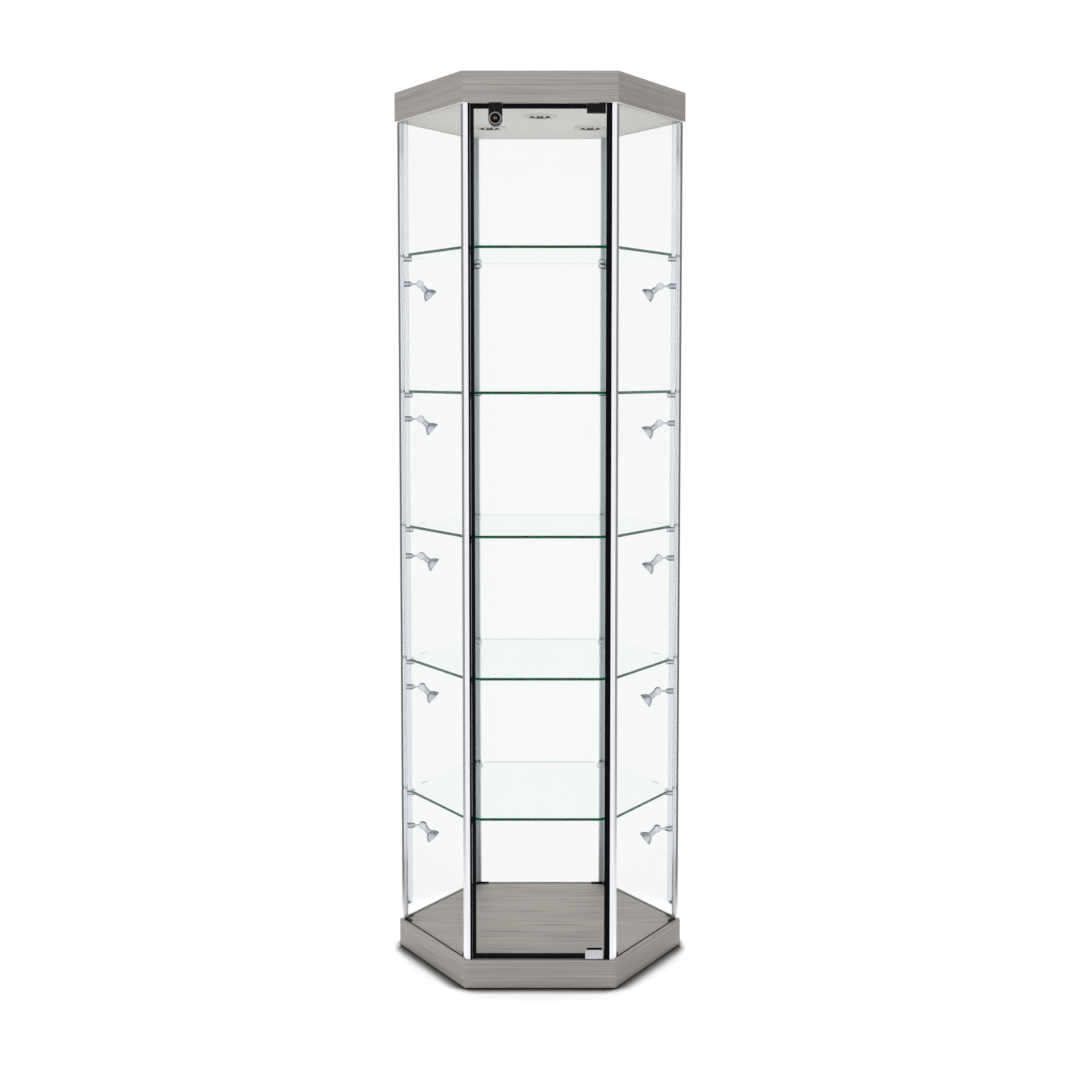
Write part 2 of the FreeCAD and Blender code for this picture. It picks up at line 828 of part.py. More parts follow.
def make_clamp(edge_z, up):
    """A pivot hinge clamped on the glass, its corners rounded to turn beside the seal, with its pin."""
    half = clamp_thickness / 2
    low = min(edge_z, edge_z + up * clamp_height)
    body = block(clamp_left, clamp_right, glass_y - half, glass_y + half, low, low + clamp_height)
    nose = [Vector(clamp_right, glass_y + side * half, 0) for side in (-1, 1)]
    body = body.makeFillet(clamp_nose_radius, [e for e in body.Edges if is_upright_at(e, nose)])
    edges = [e for e in body.Edges if abs(e.BoundBox.XMax - clamp_left) < match_distance]
    body = body.makeFillet(clamp_edge, edges).cut(door_slot(trim_clearance))
    gap = door_gap_bottom if up > 0 else door_gap_top
    pin_start = Vector(pivot_x, glass_y, edge_z)
    pin = rod(pin_start, Vector(0, 0, -up), pivot_pin_diameter, gap + pivot_pin_depth)
    return body.fuse(pin).removeSplitter()


def lock_outline(y):
    """The lock's face: straight sides and a round foot."""
    half = lock_width / 2
    round_z = lock_foot + half
    left_foot = Vector(lock_x - half, y, round_z)
    right_foot = Vector(lock_x + half, y, round_z)
    left_head = Vector(lock_x - half, y, door_top)
    right_head = Vector(lock_x + half, y, door_top)
    foot = Part.Arc(left_foot, Vector(lock_x, y, lock_foot), right_foot)
    edges = [
        Part.LineSegment(left_head, left_foot).toShape(),
        foot.toShape(),
        Part.LineSegment(right_foot, right_head).toShape(),
        Part.LineSegment(right_head, left_head).toShape(),
    ]
    return Part.Face(Part.Wire(edges))


def bolt_space(clearance, rise):
    """The bolt's blade and foot, grown by a clearance, with room to rise."""
    y0 = bolt_front_y - clearance
    y1 = bolt_rear_y + clearance
    foot_low = key_z + crank_radius * math.sin(math.radians(crank_start_angle)) - bolt_foot_height / 2
    half_foot = bolt_foot_width / 2 + clearance
    half_blade = bolt_width / 2 + clearance
    top = foot_low + bolt_foot_height + rise + clearance
    foot = block(lock_x - half_foot, lock_x + half_foot, y0, y1, foot_low - clearance, top)
    blade = block(lock_x - half_blade, lock_x + half_blade, y0, y1, foot_low, door_top)
    return foot.fuse(blade).removeSplitter()


def make_lock_case():
    """The lock's body, which clasps the glass, bored for the key barrel, cam and bolt."""
    case = lock_outline(lock_front_y).extrude(Vector(0, lock_rear_y - lock_front_y, 0))
    front_edges = [e for e in case.Edges if e.BoundBox.YMax < lock_front_y + match_distance]
    case = case.makeFillet(lock_edge, front_edges)
    half = pane_thickness / 2 + lock_clearance
    glass = block(
        lock_x - lock_width,
        lock_x + lock_width,
        glass_y - half,
        glass_y + half,
        lock_foot - overshoot,
        glass_top + lock_clearance,
    )
    back = Vector(0, 1, 0)
    barrel_start = Vector(lock_x, lock_front_y, key_z)
    barrel_diameter = key_diameter + 2 * key_clearance
    barrel = rod(barrel_start, back, barrel_diameter, cam_front_y - lock_front_y)
    cam_start = Vector(lock_x, glass_y + pane_thickness / 2, key_z)
    cam_room = cam_diameter + 2 * cam_clearance
    cam = rod(cam_start, back, cam_room, bolt_front_y - cam_start.y)
    return case.cut(glass).cut(barrel).cut(cam).cut(bolt_space(bolt_clearance, crank_rise))


def make_key_barrel():
    """The key barrel with its slot in front and the crank on its tail."""
    start = Vector(lock_x, lock_front_y - key_proud, key_z)
    back = Vector(0, 1, 0)
    barrel = rod(start, back, key_diameter, cam_front_y - lock_front_y + key_proud)
    cam = rod(Vector(lock_x, cam_front_y, key_z), back, cam_diameter, cam_thickness)
    angle = math.radians(crank_start_angle)
    pin_x = lock_x + crank_radius * math.cos(angle)
    pin_z = key_z + crank_radius * math.sin(angle)
    pin_length = cam_clearance + bolt_thickness - bolt_clearance
    pin = rod(Vector(pin_x, cam_rear_y, pin_z), back, crank_pin_diameter, pin_length)
    slot = block(
        lock_x - key_slot_width / 2,
        lock_x + key_slot_width / 2,
        start.y - overshoot,
        start.y + key_slot_depth,
        key_z - key_slot_length / 2,
        key_z + key_slot_length / 2,
    )
    return barrel.fuse(cam).fuse(pin).removeSplitter().cut(slot)


def make_bolt():
    """The bolt, with a level slot for the crank pin."""
    low = key_z + crank_radius * math.sin(math.radians(crank_start_angle))
    half_slot = crank_pin_diameter / 2 + bolt_slot_clearance
    slot = block(
        lock_x,
        lock_x + bolt_foot_width,
        bolt_front_y - overshoot,
        bolt_rear_y + overshoot,
        low - half_slot,
        low + half_slot,
    )
    return bolt_space(0, 0).cut(slot)


def strike_hole():
    """The slot in the ceiling board that takes the bolt."""
    half = bolt_width / 2 + strike_clearance
    rise = crank_rise - door_gap_top + strike_clearance
    return block(
        lock_x - half,
        lock_x + half,
        bolt_front_y - strike_clearance,
        bolt_rear_y + strike_clearance,
        ceiling_z - overshoot,
        ceiling_z + rise,
    )


def make_deck():
    """The plinth's deck with the pane grooves and the lower pivot's hole."""
    deck = mitred_board(plinth_height, plinth_height - board_thickness)
    cuts = pane_grooves(plinth_height - pane_groove_depth, plinth_height + overshoot)
    for cutter in cuts + [bush_hole_low()]:
        deck = deck.cut(cutter)
    return deck


def bush_hole_low():
    """The hole for the lower pivot's bush."""
    return rod(Vector(pivot_x, glass_y, plinth_height), Vector(0, 0, -1), bush_diameter, bush_depth)


def bush_hole_high():
    """The hole for the upper pivot's bush."""
    return rod(Vector(pivot_x, glass_y, ceiling_z), Vector(0, 0, 1), bush_diameter, bush_depth)


def make_ceiling():
    """The ceiling board with its grooves, downlight holes, pivot hole and strike."""
    ceiling = mitred_board(ceiling_z, ceiling_z + board_thickness)
    cuts = pane_grooves(ceiling_z - overshoot, ceiling_z + pane_groove_depth)
    hole_diameter = downlight_can_diameter + 2 * downlight_hole_clearance
    for x, y in downlight_places():
        cuts.append(rod(Vector(x, y, ceiling_z), Vector(0, 0, 1), hole_diameter, board_thickness))
    for cutter in cuts + [bush_hole_high(), strike_hole()]:
        ceiling = ceiling.cut(cutter)
    return ceiling


def canopy_nodes():
    """The canopy's boards, lamps and driver."""
    ceiling_board = mitred_board(ceiling_z, ceiling_z + board_thickness)
    cuts = [(0, bush_hole_high()), (3, grommet_hole())]
    bezel, lens = make_downlight()
    places = downlight_places()
    flat = apothem - board_thickness - top_board_clearance
    return {
        "canopy_ceiling": make_ceiling(),
        "canopy_fascias": make_fascias(ceiling_z, case_height, ceiling_board, cuts),
        "canopy_top_board": prism(hexagon(flat, top_board_z), Vector(0, 0, top_board_thickness)),
        "downlight_bezels": Part.makeCompound([moved(bezel, x, y, 0) for x, y in places]),
        "downlight_lenses": Part.makeCompound([moved(lens, x, y, 0) for x, y in places]),
        "lamp_driver": make_driver(),
        "cable_grommet": make_grommet(),
    }


def plinth_nodes():
    """The plinth's boards, blocks, glides and corner shoes."""
    deck_board = mitred_board(plinth_height, plinth_height - board_thickness)
    corners = list(zip(corner_names, corner_angles))
    return {
        "plinth_deck": make_deck(),
        "plinth_fascias": make_fascias(glide_gap, plinth_height, deck_board, [(0, bush_hole_low())]),
        "floor_glides": Part.makeCompound([turned(make_glide(), a) for a in corner_angles]),
        "post_shoes": Part.makeCompound([make_shoe(name, a) for name, a in corners]),
    }


def door_nodes():
    """The door, its hinges, its seals and its lock."""
    lock_seal = make_seal(lock_seal_width, 1, corner_angles[-1])
    hinge_seal = make_seal(hinge_seal_width, -1, corner_angles[0])
    return {
        "hinge_bushes": Part.makeCompound([make_bush(plinth_height, -1), make_bush(ceiling_z, 1)]),
        "door_seals": Part.makeCompound([lock_seal, hinge_seal]),
        "door_glass": make_door_glass(),
        "door_trim": make_door_trim(),
        "hinge_clamp_bottom": make_clamp(door_bottom, 1),
        "hinge_clamp_top": make_clamp(door_top, -1),
        "lock_case": make_lock_case(),
        "lock_barrel": make_key_barrel(),
        "lock_bolt": make_bolt(),
    }


def all_nodes():
    """Every node of the case by name."""
    nodes = plinth_nodes()
    nodes.update(canopy_nodes())
    nodes["corner_blocks"] = make_corner_blocks()
    for name, angle in zip(corner_names, corner_angles):
        nodes[f"post_{name}"] = make_post(name, angle)
    nodes.update(make_panes())
    for n, z in enumerate(shelf_heights[::-1], 1):
        nodes[f"shelf_{n}"] = make_shelf(z)
    nodes["shelf_pegs"] = make_pegs()
    rails = [make_rail(180.0, spot_drops_left), make_rail(0.0, spot_drops_right)]
    nodes["light_rails"] = Part.makeCompound(rails)
    nodes.update(spot_nodes())
    nodes.update(door_nodes())
    return nodes


def main():
    os.makedirs("parts", exist_ok=True)
    nodes = all_nodes()
    for name, shape in nodes.items():
        valid = shape.isValid()
        print(f"{name}: {len(shape.Solids)} solids, {shape.Volume / 1000:.1f} cm3, valid {valid}")
        shape.exportStep(f"parts/{name}.step")
    print(len(nodes), "nodes")


main()
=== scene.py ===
import json
import math

import bpy
from mathutils import Matrix, Vector


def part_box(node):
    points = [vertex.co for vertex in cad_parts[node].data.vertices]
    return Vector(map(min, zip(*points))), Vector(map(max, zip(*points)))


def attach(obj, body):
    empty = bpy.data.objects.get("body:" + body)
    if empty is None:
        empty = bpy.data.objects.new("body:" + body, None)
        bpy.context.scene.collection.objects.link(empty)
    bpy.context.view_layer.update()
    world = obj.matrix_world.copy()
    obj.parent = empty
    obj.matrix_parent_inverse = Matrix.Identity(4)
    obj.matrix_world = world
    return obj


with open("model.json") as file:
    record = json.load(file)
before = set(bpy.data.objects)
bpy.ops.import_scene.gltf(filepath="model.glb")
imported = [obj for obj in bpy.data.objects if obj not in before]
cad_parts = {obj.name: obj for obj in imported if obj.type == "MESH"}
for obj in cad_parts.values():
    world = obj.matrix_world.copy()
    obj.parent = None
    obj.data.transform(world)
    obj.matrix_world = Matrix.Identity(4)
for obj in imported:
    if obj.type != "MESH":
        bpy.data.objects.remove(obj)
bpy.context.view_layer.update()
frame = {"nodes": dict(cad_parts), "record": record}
nodes = frame["nodes"]
joints = {joint["name"]: joint for joint in frame["record"]["behaviour"]["joints"]}
bpy.ops.object.select_all(action="DESELECT")
print("frame loaded:", len(nodes), "nodes")


def hexColor(code):  # sRGB hex to the linear colour that shaders take
    parts = [int(code[i:i + 2], 16) / 255 for i in (1, 3, 5)]
    return [c / 12.92 if c <= 0.04045 else ((c + 0.055) / 1.055) ** 2.4 for c in parts] + [1.0]


def perMetre(sizes):  # how often a pattern of these sizes in millimetres comes in a metre
    return [1000 / size for size in sizes]


# keys are a node's own settings, or its inputs by name or number
# a colour Mix takes its share at 0 and its two colours at 6 and 7, and gives the blend at output 2
def addNode(tree, kind, settings=None, links=None):
    made = tree.nodes.new(kind)
    for key, value in (settings or {}).items():
        if isinstance(key, str) and hasattr(made, key):
            setattr(made, key, value)
        else:
            made.inputs[key].default_value = value
    for key, source in (links or {}).items():
        tree.links.new(source, made.inputs[key])
    return made


def startMaterial(name, settings=None):  # a fresh material with its Principled shader
    material = bpy.data.materials.new(name)
    material.use_nodes = True
    tree = material.node_tree
    tree.nodes.clear()
    shader = addNode(tree, "ShaderNodeBsdfPrincipled", settings)
    addNode(tree, "ShaderNodeOutputMaterial", links={"Surface": shader.outputs[0]})
    return material, tree, shader


# grey ash laminate: printed paper under clear melamine, so fine level streaks and a soft sheen
ashSettings = {
    "boards": {"mid": "#8b8581", "pale": "#a09b96", "dark": "#6d6763",
               "most": {"streak": 1.0, "band": 0.55, "pore": 0.55}},  # how strong each layer gets
    # the deck's tones are a paler copy of the boards': painted light that makes up for the shade behind the
    # glass
    "deck": {"mid": "#958d87", "pale": "#aaa29b", "dark": "#746c67",
             "most": {"streak": 1.0, "band": 0.55, "pore": 0.95}},
    "layers": {  # mm along, into and up a board, drawn coarser than printed ink so that they show
        "streak": {"size": (450, 6, 3), "spread": (0.36, 0.64), "noise": {"Detail": 3.0, "Roughness": 0.6}},
        "band": {"size": (900, 50, 13), "spread": (0.35, 0.65), "noise": {"Detail": 2.0, "Distortion": 0.3}},
        "pore": {"size": (200, 4, 2), "spread": (0.55, 0.75), "noise": {"Detail": 1.0}},
    },
    "deckCoarser": 3.2,  # the deck is seen at a slant, so its streaks are drawn wider
    "nextBoard": 0.73,  # metres along the print from one board to the next
    "roughness": (0.42, 0.56), "ior": 1.5,
    "bump": {"Strength": 0.25, "Distance": 0.0004},
}


def ashLaminate(name, tones, coarser, perBoard):
    material, tree, shader = startMaterial(name, {"IOR": ashSettings["ior"]})
    place = addNode(tree, "ShaderNodeTexCoord").outputs["Object"]
    split = addNode(tree, "ShaderNodeSeparateXYZ", links={0: place})
    if perBoard:  # every board is turned to lie along X, so its grain follows its length
        sixth = math.pi / 3
        front = -math.pi / 2
        angle = addNode(tree, "ShaderNodeMath", {"operation": "ARCTAN2"},
                        {0: split.outputs["Y"], 1: split.outputs["X"]})
        past = addNode(tree, "ShaderNodeMath", {"operation": "SUBTRACT", 1: front}, {0: angle.outputs[0]})
        sixths = addNode(tree, "ShaderNodeMath", {"operation": "DIVIDE", 1: sixth}, {0: past.outputs[0]})
        board = addNode(tree, "ShaderNodeMath", {"operation": "ROUND"}, {0: sixths.outputs[0]})
        turn = addNode(tree, "ShaderNodeMath", {"operation": "MULTIPLY", 1: -sixth}, {0: board.outputs[0]})
        turned = addNode(tree, "ShaderNodeVectorRotate", {"rotation_type": "Z_AXIS"},
                         {"Vector": place, "Angle": turn.outputs[0]})
        slide = addNode(tree, "ShaderNodeMath", {"operation": "MULTIPLY", 1: ashSettings["nextBoard"]},
                        {0: board.outputs[0]})
        offset = addNode(tree, "ShaderNodeCombineXYZ", links={"X": slide.outputs[0], "Z": slide.outputs[0]})
        place = addNode(tree, "ShaderNodeVectorMath", {"operation": "ADD"},
                        {0: turned.outputs[0], 1: offset.outputs[0]}).outputs[0]
    else:  # the deck's streaks lie across it, so depth and height change places
        place = addNode(tree, "ShaderNodeCombineXYZ", links={
            "X": split.outputs["X"], "Y": split.outputs["Z"], "Z": split.outputs["Y"]}).outputs[0]
    noises = {}
    shares = {}
    for key, layer in ashSettings["layers"].items():
        sizes = [size * f for size, f in zip(layer["size"], (1, 1, coarser))]
        scaled = addNode(tree, "ShaderNodeMapping", {"Scale": perMetre(sizes)}, {"Vector": place})
        noise = addNode(tree, "ShaderNodeTexNoise", {"Scale": 1.0, **layer["noise"]},
                        {"Vector": scaled.outputs[0]})
        noises[key] = noise.outputs["Fac"]
        low, high = layer["spread"]
        share = addNode(tree, "ShaderNodeMapRange", {
            "From Min": low, "From Max": high, "To Max": tones["most"][key]}, {0: noises[key]})
        shares[key] = share.outputs[0]
    color = addNode(tree, "ShaderNodeMix", {
        "data_type": "RGBA", 6: hexColor(tones["mid"]), 7: hexColor(tones["pale"])}, {0: shares["streak"]})
    for key, tone in (("band", "mid"), ("pore", "dark")):
        color = addNode(tree, "ShaderNodeMix", {"data_type": "RGBA", 7: hexColor(tones[tone])},
                        {0: shares[key], 6: color.outputs[2]})
    tree.links.new(color.outputs[2], shader.inputs["Base Color"])
    low, high = ashSettings["roughness"]
    rough = addNode(tree, "ShaderNodeMapRange", {"To Min": low, "To Max": high}, {0: noises["streak"]})
    tree.links.new(rough.outputs[0], shader.inputs["Roughness"])
    bump = addNode(tree, "ShaderNodeBump", ashSettings["bump"], {"Height": noises["streak"]})
    tree.links.new(bump.outputs[0], shader.inputs["Normal"])
    return material


fasciaLaminate = ashLaminate("greyAshLaminateBoards", ashSettings["boards"], coarser=1.0, perBoard=True)
litDeckLaminate = ashLaminate("greyAshLaminateDeckLit", ashSettings["deck"], coarser=ashSettings["deckCoarser"],
                           perBoard=False)


# other finishes: one noise drives colour, roughness and bump
# grain and bump are in mm; real grains of some hundredths of a mm are drawn near 1 mm so that they show
speckleSettings = {"detail": 3.0, "bumpStrength": 0.3,
                   "spread": (0.3, 0.7)}  # most of the noise lies between these


def speckled(name, colors, grain, roughness, settings=None, bump=0.0, stretch=(1, 1, 1), shade=None):
    material, tree, shader = startMaterial(name, settings)
    coords = addNode(tree, "ShaderNodeTexCoord")
    scaled = addNode(tree, "ShaderNodeMapping", {"Scale": perMetre([grain * s for s in stretch])},
                     {"Vector": coords.outputs["Object"]})
    noise = addNode(tree, "ShaderNodeTexNoise", {"Scale": 1.0, "Detail": speckleSettings["detail"]},
                    {"Vector": scaled.outputs[0]}).outputs["Fac"]
    low, high = speckleSettings["spread"]
    share = addNode(tree, "ShaderNodeMapRange", {"From Min": low, "From Max": high}, {0: noise})
    first, second = [hexColor(code) for code in colors]
    color = addNode(tree, "ShaderNodeMix", {"data_type": "RGBA", 6: first, 7: second}, {0: share.outputs[0]})
    if shade:  # painted shade: faces that look along one direction, either way, are darker
        eitherWay = addNode(tree, "ShaderNodeVectorMath", {"operation": "ABSOLUTE"},
                            {0: coords.outputs["Normal"]})
        facing = addNode(tree, "ShaderNodeVectorMath", {"operation": "DOT_PRODUCT", 1: shade["along"]},
                         {0: eitherWay.outputs[0]})
        dark = addNode(tree, "ShaderNodeMapRange", {
            "interpolation_type": "SMOOTHSTEP", "From Min": shade["from"], "From Max": shade["to"]},
            {0: facing.outputs["Value"]})
        color = addNode(tree, "ShaderNodeMix", {"data_type": "RGBA", 7: hexColor(shade["color"])},
                        {0: dark.outputs[0], 6: color.outputs[2]})
    tree.links.new(color.outputs[2], shader.inputs["Base Color"])
    low, high = roughness
    rough = addNode(tree, "ShaderNodeMapRange", {"To Min": low, "To Max": high}, {0: noise})
    tree.links.new(rough.outputs[0], shader.inputs["Roughness"])
    if bump:
        relief = addNode(tree, "ShaderNodeBump", {
            "Strength": speckleSettings["bumpStrength"], "Distance": bump / 1000}, {"Height": noise})
        tree.links.new(relief.outputs[0], shader.inputs["Normal"])
    return material


metal = {"Metallic": 1.0}
rimShadedMetal = {"Metallic": 1.0, "Specular Tint": hexColor("#50545c")}  # a dark edge tint on the reflection: painted shade at the rims of turned parts
dull = {"Specular IOR Level": 0.04}  # black parts that mirror little of the white studio
clean = {"Specular IOR Level": 0.12}  # and one with a small clean highlight
dieLines = (1, 1, 160)  # grains stretched up an extrusion
brushLines = (60, 1, 1)  # along the clamp
woodGrain = (1, 1, 30)  # up a glue block
turnedShade = {"along": (0, 0, 1), "from": 0.3, "to": 0.9, "color": "#959b9f"}  # painted shade above and below
# painted shade: the pegs' upper and lower faces darker still
pegShade = dict(turnedShade, color="#5c6267")
noseShade = {"along": (0.5, 0.866, 0), "from": 0.95, "to": 0.99, "color": "#abb4ba"}  # painted shade on the back posts' noses

# anodised aluminium: extruded, so long die lines under a bright satin skin
aluminium = speckled("anodisedAluminium", ("#f0f2f8", "#f8f9fd"), grain=1.2, roughness=(0.26, 0.36),
                     settings=metal, bump=0.05, stretch=dieLines)
# a paler, glossier copy for the side posts: the paler colour is painted light
litSideAluminium = speckled("anodisedAluminiumSideLit", ("#f6f8fc", "#fdfdff"), grain=1.2, roughness=(0.14, 0.2),
                         settings=metal, stretch=dieLines)
# a darker copy for the back posts: painted shade, darkest on their noses
shadedAluminium = speckled("anodisedAluminiumShaded", ("#d6dfe2", "#e2e8ea"), grain=1.2,
                           roughness=(0.3, 0.4), settings=metal, bump=0.05, stretch=dieLines,
                           shade=noseShade)
# turned aluminium: a tight gloss with painted reflection, dark above and below where the white room isn't
# mirrored; the arms' and caps' paler copy is painted light
satinMetal = speckled("satinAluminium", ("#bcc2cb", "#d3d8e0"), grain=0.8, roughness=(0.14, 0.24),
                      settings=rimShadedMetal, bump=0.03, shade=turnedShade)
polishedMetal = speckled("polishedAluminium", ("#d6dae2", "#e6e9ef"), grain=0.8, roughness=(0.1, 0.18),
                         settings=rimShadedMetal, bump=0.03, shade=turnedShade)
pegMetal = speckled("turnedAluminiumPeg", ("#ccd1d9", "#dee2e8"), grain=0.8, roughness=(0.12, 0.2),
                    settings=rimShadedMetal, bump=0.03, shade=pegShade)
# satin chrome: an even mid grey with a soft highlight
ringMetal = speckled("satinChromeRing", ("#94969c", "#a6a8ae"), grain=0.6, roughness=(0.25, 0.35),
                     settings=metal, bump=0.03)
# satin nickel: brushed along the clamp, so level lines and a warm grey
satinNickel = speckled("satinNickel", ("#c0bfc5", "#cfced3"), grain=0.6, roughness=(0.3, 0.4),
                       settings=metal, bump=0.03, stretch=brushLines)
# blackened brass and steel: an oxide skin, near black with a metal's soft gleam
blackBrass = speckled("blackenedBrass", ("#15120f", "#1d1914"), grain=0.8, roughness=(0.3, 0.42),
                      settings=metal, bump=0.03)
blackSteel = speckled("blackenedSteel", ("#26272a", "#34353a"), grain=0.8, roughness=(0.3, 0.42),
                      settings=metal, bump=0.03)
# turned bronze: warm brown that takes a satin gleam
bronze = speckled("turnedBronze", ("#96765a", "#a5866a"), grain=0.6, roughness=(0.28, 0.4),
                  settings=metal, bump=0.03)
# zinc-plated steel: faintly mottled pale grey
zincSteel = speckled("zincPlatedSteel", ("#b3b3ac", "#c6c6be"), grain=1.5, roughness=(0.28, 0.4),
                     settings=metal)
# reflector: pressed, a dark mirror whose dark colour is painted shade of the recess, so that the lamp domes
# stand out
reflectorMetal = speckled("darkReflectorPaintedShade", ("#55554d", "#6a6a60"), grain=2.0, roughness=(0.2, 0.32),
                          settings=metal, bump=0.05)
# PVC: extruded, a fine matt black with a slight blue cast
blackPlastic = speckled("blackPvc", ("#07080c", "#0d0e12"), grain=0.7, roughness=(0.34, 0.46),
                        settings=dull, bump=0.04)
# rubber: moulded, a deep black that is rough enough to lose its highlights
blackRubber = speckled("blackRubber", ("#050507", "#0a0a0c"), grain=0.6, roughness=(0.5, 0.66),
                       settings=dull, bump=0.06)
# baked enamel: a smooth deep black with a clean highlight, or a soft white with a fine orange peel
blackEnamel = speckled("blackEnamel", ("#050507", "#08080b"), grain=1.2, roughness=(0.2, 0.3),
                       settings=clean)
whiteEnamel = speckled("whiteEnamel", ("#dadad4", "#e2e2dc"), grain=1.0, roughness=(0.3, 0.4), bump=0.04)
# melamine: pressed, so smooth, even and nearly white
whiteMelamine = speckled("paleMelamine", ("#f9f7ee", "#fcfaf2"), grain=1.5, roughness=(0.4, 0.5), bump=0.03)
# hardboard: pressed fibres, so a dull mottled brown
hardboard = speckled("hardboard", ("#7c6650", "#8f775e"), grain=1.2, roughness=(0.6, 0.75), bump=0.1)
# planed pine: pale, with its grain up the block
softwood = speckled("planedPine", ("#c2a47a", "#d5ba92"), grain=1.8, roughness=(0.5, 0.62), bump=0.1,
                    stretch=woodGrain)
# moulded nylon, polypropylene and ABS: an even colour, a soft sheen and the fine texture of the mould
nylon = speckled("blackNylon", ("#15151a", "#1e1e22"), grain=0.8, roughness=(0.4, 0.5))
plugPlastic = speckled("greyPolypropylene", ("#2c2d30", "#38393c"), grain=0.8, roughness=(0.4, 0.55),
                       bump=0.04)
driverCase = speckled("whiteAbs", ("#dcdcd8", "#e4e4e0"), grain=0.8, roughness=(0.4, 0.5), bump=0.06)
# frosted acrylic: a cloudy grey while the lamps are off, darkened as painted shade of the recess
lampLens = speckled("frostedAcrylic", ("#8e8f8b", "#a3a49f"), grain=3.0, roughness=(0.3, 0.42), bump=0.2)
# pressed glass: small beads that glint
pressedGlass = speckled("pressedLensGlass", ("#b4b7bc", "#d3d6da"), grain=1.6, roughness=(0.12, 0.22),
                        bump=0.3)
# milky silicone: moulded pale and smooth over each lamp
siliconeDome = speckled("milkySilicone", ("#e3e4dc", "#eeeee8"), grain=1.0, roughness=(0.2, 0.3),
                        settings={"IOR": 1.41})


def letLampsThrough(tree, shader, film, tint, density):  # lamps reach what stands behind a clear piece
    output = tree.nodes["Material Output"]
    clear = addNode(tree, "ShaderNodeBsdfTransparent", {"Color": hexColor(film)})
    path = addNode(tree, "ShaderNodeLightPath")
    mix = addNode(tree, "ShaderNodeMixShader", links={
        0: path.outputs["Is Shadow Ray"], 1: shader.outputs[0], 2: clear.outputs[0]})
    tree.links.new(mix.outputs[0], output.inputs["Surface"])
    body = addNode(tree, "ShaderNodeVolumeAbsorption", {"Color": tint, "Density": density})
    tree.links.new(body.outputs[0], output.inputs["Volume"])


# float glass: clear through its face and green along its length, because iron in it takes up red
glassSettings = {
    "tint": (0.02, 0.65, 0.515, 1.0),  # the colour of a long way through it
    # a pane's edge colour is darker than a shelf's: the glass's own green with painted shade of the groove
    "pane": {"film": "#fcfcfc", "edge": "#0a4a38", "density": 1.5, "ior": 1.12},  # coated: mirrors little
    "shelf": {"film": "#ffffff", "edge": "#0c7c5c", "density": 4.5, "ior": 1.33},
    "paneFoot": 0.0006,  # a pane shows the depth of its cut foot this far above the deck, in the dark green of painted groove shade
    "shelfEdge": 0.5,  # a shelf's face is a cut edge where its normal rises less
}


def floatGlass(name, sheet, coordinate, limit):  # edges lie where the coordinate's Z is under the limit
    material, tree, shader = startMaterial(name, {
        "Roughness": 0.0, "IOR": sheet["ior"], "Transmission Weight": 1.0})
    coords = addNode(tree, "ShaderNodeTexCoord")
    split = addNode(tree, "ShaderNodeSeparateXYZ", links={0: coords.outputs[coordinate]})
    rise = addNode(tree, "ShaderNodeMath", {"operation": "ABSOLUTE"}, {0: split.outputs["Z"]})
    edge = addNode(tree, "ShaderNodeMath", {"operation": "LESS_THAN", 1: limit}, {0: rise.outputs[0]})
    color = addNode(tree, "ShaderNodeMix", {
        "data_type": "RGBA", 6: hexColor(sheet["film"]), 7: hexColor(sheet["edge"])}, {0: edge.outputs[0]})
    tree.links.new(color.outputs[2], shader.inputs["Base Color"])
    letLampsThrough(tree, shader, sheet["film"], glassSettings["tint"], sheet["density"])
    return material


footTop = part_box("plinth_deck")[1].z + glassSettings["paneFoot"]  # below this a pane is in its groove, and wears its dark edge colour as painted shade
paneGlass = floatGlass("floatGlassPane", glassSettings["pane"], "Object", footTop)
shelfGlass = floatGlass("floatGlassShelf", glassSettings["shelf"], "Normal", glassSettings["shelfEdge"])

# clear polycarbonate: the light rails' channel, extruded, so clear but milky along its length
railSettings = {"film": "#f5f6f9", "tint": (0.4, 0.43, 0.52, 1.0), "density": 24.0, "ior": 1.49,
                "roughness": (0.08, 0.18), "detail": 2.0,
                "line": (1.2, 1.2, 300)}  # mm, drawn coarser than real die lines so that they show
railPlastic, tree, shader = startMaterial("clearPolycarbonate", {
    "Base Color": hexColor(railSettings["film"]), "IOR": railSettings["ior"], "Transmission Weight": 1.0})
coords = addNode(tree, "ShaderNodeTexCoord")
scaled = addNode(tree, "ShaderNodeMapping", {"Scale": perMetre(railSettings["line"])},
                 {"Vector": coords.outputs["Object"]})
lines = addNode(tree, "ShaderNodeTexNoise", {"Scale": 1.0, "Detail": railSettings["detail"]},
                {"Vector": scaled.outputs[0]})
low, high = railSettings["roughness"]
rough = addNode(tree, "ShaderNodeMapRange", {"To Min": low, "To Max": high}, {0: lines.outputs["Fac"]})
tree.links.new(rough.outputs[0], shader.inputs["Roughness"])
letLampsThrough(tree, shader, railSettings["film"], railSettings["tint"], railSettings["density"])
print("materials made")

